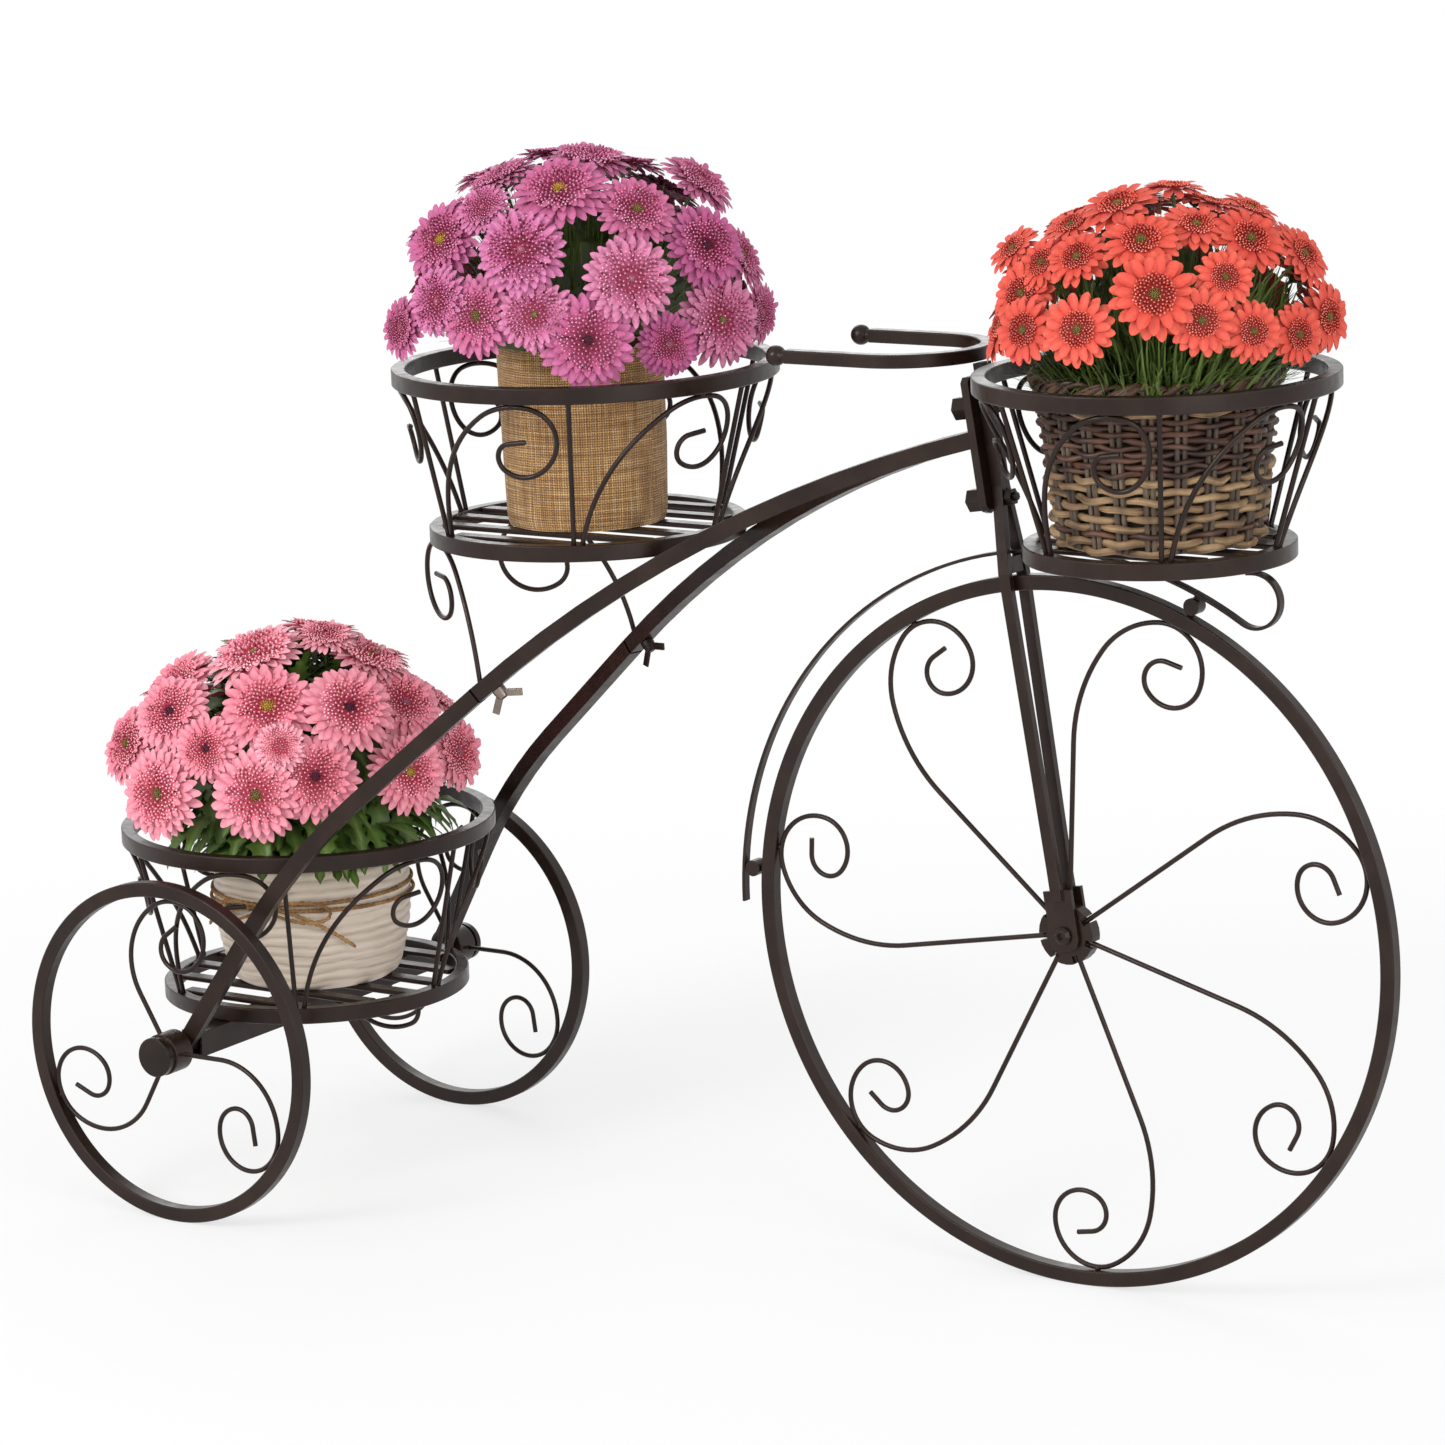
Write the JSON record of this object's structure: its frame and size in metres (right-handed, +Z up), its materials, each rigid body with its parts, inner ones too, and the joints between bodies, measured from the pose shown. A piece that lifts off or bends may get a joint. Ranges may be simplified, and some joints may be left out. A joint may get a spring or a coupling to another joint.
{
  "type": "bicycle planter",
  "caption": "Wrought-iron tricycle plant stand with scrolled wheels, fork, flat handlebar and round wire baskets that hold lift-out pots of flowers.",
  "frame": {"origin": "on the ground under the middle of the length, on the centre plane", "axes": "+X towards the large front wheel, +Z up, +Y to the stand's left"},
  "size_m": [0.9046, 0.3306, 0.676],
  "materials": {
    "iron": "satin dark bronze powder coat",
    "hardware": "satin dark coat over steel",
    "bare_metal": "bare zinc-coated steel",
    "burlap": "woven jute cloth",
    "wicker": "woven willow and twigs",
    "ceramic": "off-white satin glaze",
    "twine": "twisted jute",
    "pink_petals": "soft petals",
    "coral_petals": "soft petals",
    "rose_petals": "soft petals"
  },
  "bodies": {
    "frame": {"basket_leg_left": "iron", "basket_leg_right": "iron", "crossbar": "iron", "fender_strap": "iron", "fork_blade_left": "iron", "fork_blade_right": "iron", "fork_crown": "iron", "front_axle_bolt": "hardware", "front_axle_nut": "hardware", "front_basket_base": "iron", "front_basket_bolt": "hardware", "front_basket_rail": "iron", "front_hub": "iron", "front_rim": "iron", "front_spoke_1": "iron", "front_spoke_2": "iron", "front_spoke_3": "iron", "front_spoke_4": "iron", "front_spoke_5": "iron", "front_spoke_6": "iron", "front_spoke_7": "iron", "handlebar": "iron", "head_bolt_lower": "hardware", "head_bolt_upper": "hardware", "head_nut_lower": "hardware", "head_nut_upper": "hardware", "head_plate": "iron", "lower_basket_base": "iron", "lower_basket_brace": "iron", "lower_basket_rail": "iron", "lower_tube_left": "iron", "lower_tube_right": "iron", "rear_axle": "hardware", "seam_stud_left": "hardware", "seam_stud_right": "hardware", "strap_stud_front": "iron", "strap_stud_rear": "iron", "tube_spigot_left": "iron", "tube_spigot_right": "iron", "upper_basket_base": "iron", "upper_basket_rail": "iron", "upper_tube_left": "iron", "upper_tube_right": "iron", "wing_nut_left": "bare_metal", "wing_nut_right": "bare_metal"},
    "rear_wheel_left": {"rear_left_cap": "hardware", "rear_left_hub": "iron", "rear_left_rim": "iron"},
    "rear_wheel_right": {"rear_right_cap": "hardware", "rear_right_hub": "iron", "rear_right_rim": "iron"},
    "burlap_planting": {"burlap_plant": "pink_petals", "burlap_pot": "burlap"},
    "wicker_planting": {"wicker_plant": "coral_petals", "wicker_pot": "wicker"},
    "ceramic_planting": {"ceramic_plant": "rose_petals", "ceramic_pot": "ceramic", "twine_bow": "twine"}
  },
  "joints": [
    {"name": "rear_wheel_left_spin", "type": "hinge", "parent": "frame", "child": "rear_wheel_left", "pos_m": [-0.3333, 0.15, 0.11], "axis": [0, 1, 0], "continuous": true},
    {"name": "rear_wheel_right_spin", "type": "hinge", "parent": "frame", "child": "rear_wheel_right", "pos_m": [-0.3333, -0.15, 0.11], "axis": [0, 1, 0], "continuous": true},
    {"name": "burlap_pot_lift", "type": "slide", "parent": "frame", "child": "burlap_planting", "axis": [0, 0, 1], "range_m": [0, 0.25]},
    {"name": "wicker_pot_lift", "type": "slide", "parent": "frame", "child": "wicker_planting", "axis": [0, 0, 1], "range_m": [0, 0.25]},
    {"name": "ceramic_pot_lift", "type": "slide", "parent": "frame", "child": "ceramic_planting", "axis": [0, 0, 1], "range_m": [0, 0.56]}
  ]
}
